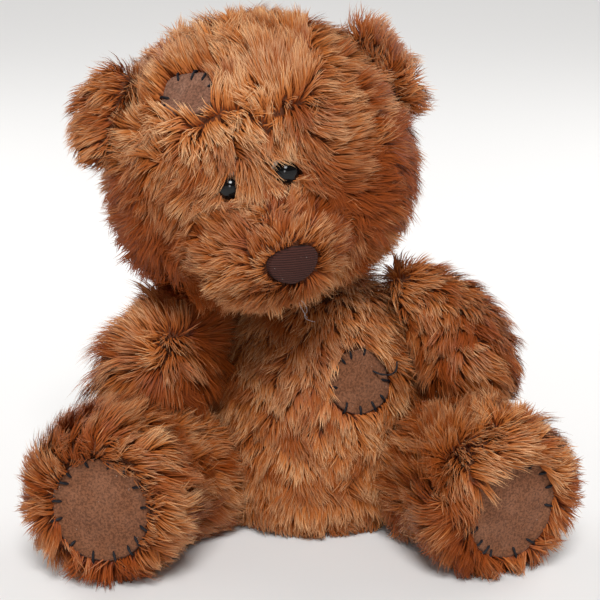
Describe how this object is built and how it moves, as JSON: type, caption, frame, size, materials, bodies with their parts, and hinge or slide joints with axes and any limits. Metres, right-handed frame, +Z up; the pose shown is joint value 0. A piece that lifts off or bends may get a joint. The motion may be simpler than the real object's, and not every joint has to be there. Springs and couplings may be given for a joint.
{
  "type": "teddy bear",
  "caption": "Sitting stuffed bear with long curly pile, suede foot pads and patches sewn on with big stitches, a ribbed cloth nose and domed eyes.",
  "frame": {"origin": "middle of the footprint, on the surface that the bear sits on", "axes": "+Z up; the bear faces -Y; its own left side is towards +X"},
  "size_m": [0.265, 0.165, 0.261],
  "materials": {
    "plush": "long golden-brown pile, clumped and matted, lighter at the tips",
    "ear_plush": "the same pile, shorter and redder",
    "suede": "brown brushed suede cloth, matt, scuffed lighter in places",
    "nose_cloth": "dark brown cloth with a fine level rib",
    "fibre": "off-white loose fibre",
    "eye_plastic": "black, polished",
    "washer_plastic": "off-white, satin",
    "thread": "black twisted sewing thread"
  },
  "bodies": {
    "root": {"torso_front_panel": "plush", "torso_back_left_panel": "plush", "torso_back_right_panel": "plush", "torso_stuffing": "fibre", "chest_patch": "suede", "head_left_panel": "plush", "head_right_panel": "plush", "head_gusset": "plush", "muzzle_panel": "plush", "head_stuffing": "fibre", "head_patch": "suede", "nose": "nose_cloth", "ear_left_front_panel": "ear_plush", "ear_left_back_panel": "ear_plush", "ear_right_front_panel": "ear_plush", "ear_right_back_panel": "ear_plush", "eye_left": "eye_plastic", "eye_right": "eye_plastic", "eye_washer_left": "washer_plastic", "eye_washer_right": "washer_plastic", "leg_left_outer_panel": "plush", "leg_left_inner_panel": "plush", "leg_left_stuffing": "fibre", "foot_pad_left": "suede", "leg_right_outer_panel": "plush", "leg_right_inner_panel": "plush", "leg_right_stuffing": "fibre", "foot_pad_right": "suede", "arm_left_outer_panel": "plush", "arm_left_inner_panel": "plush", "arm_left_stuffing": "fibre", "arm_right_outer_panel": "plush", "arm_right_inner_panel": "plush", "arm_right_stuffing": "fibre"}
  },
  "joints": []
}
